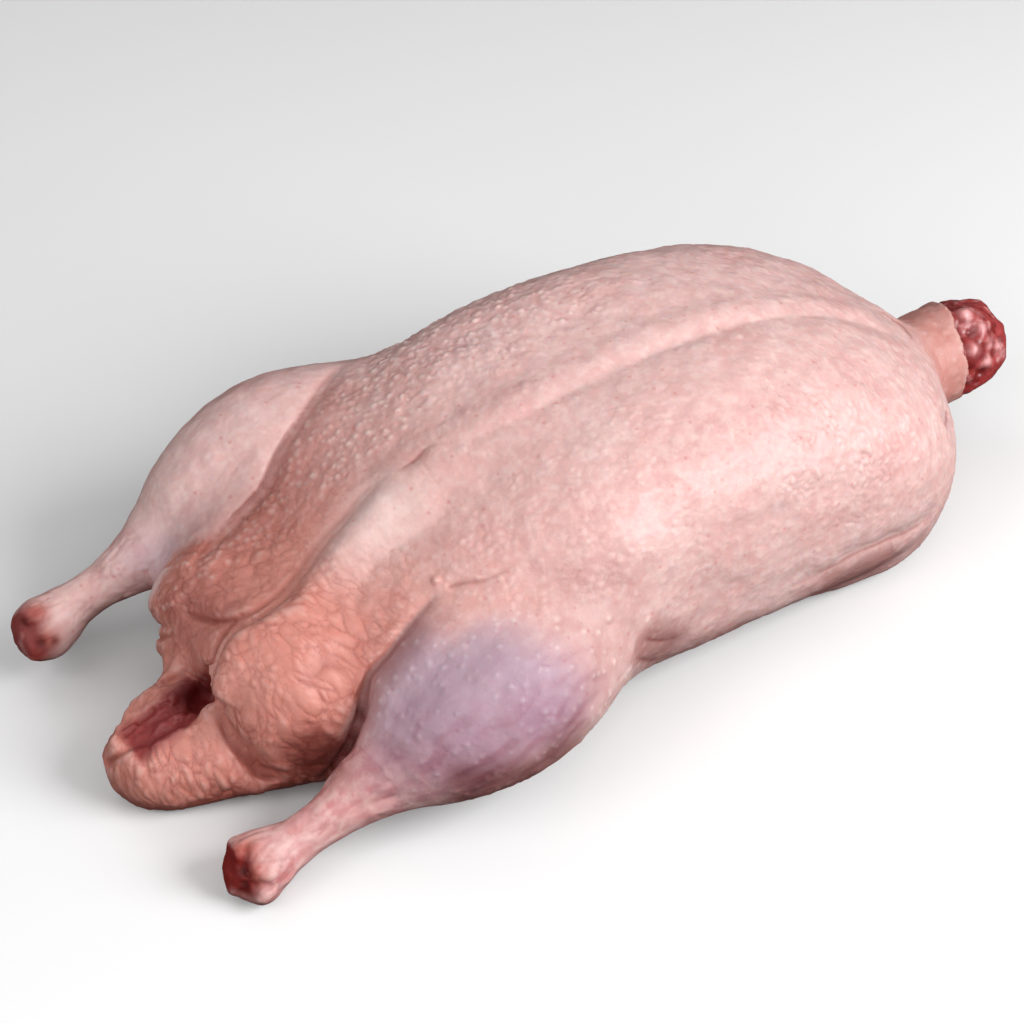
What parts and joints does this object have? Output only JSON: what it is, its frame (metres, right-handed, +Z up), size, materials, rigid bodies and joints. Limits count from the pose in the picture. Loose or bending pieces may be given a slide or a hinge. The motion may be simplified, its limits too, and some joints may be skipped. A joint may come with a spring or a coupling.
{
  "type": "whole raw duck",
  "caption": "Whole raw plucked duck on its back, breast up, with legs pointing back beside a broad tail, cut hocks and a cut neck stub.",
  "frame": {"origin": "centre of the bounding box's underside, on the surface that the duck's back rests on", "axes": "+X from the tail toward the neck, +Y toward the duck's right side, +Z up through the breast"},
  "size_m": [0.43, 0.2134, 0.1202],
  "materials": {
    "skin": "raw poultry skin, moist satin"
  },
  "bodies": {
    "root": {"duck": "skin"}
  },
  "joints": []
}
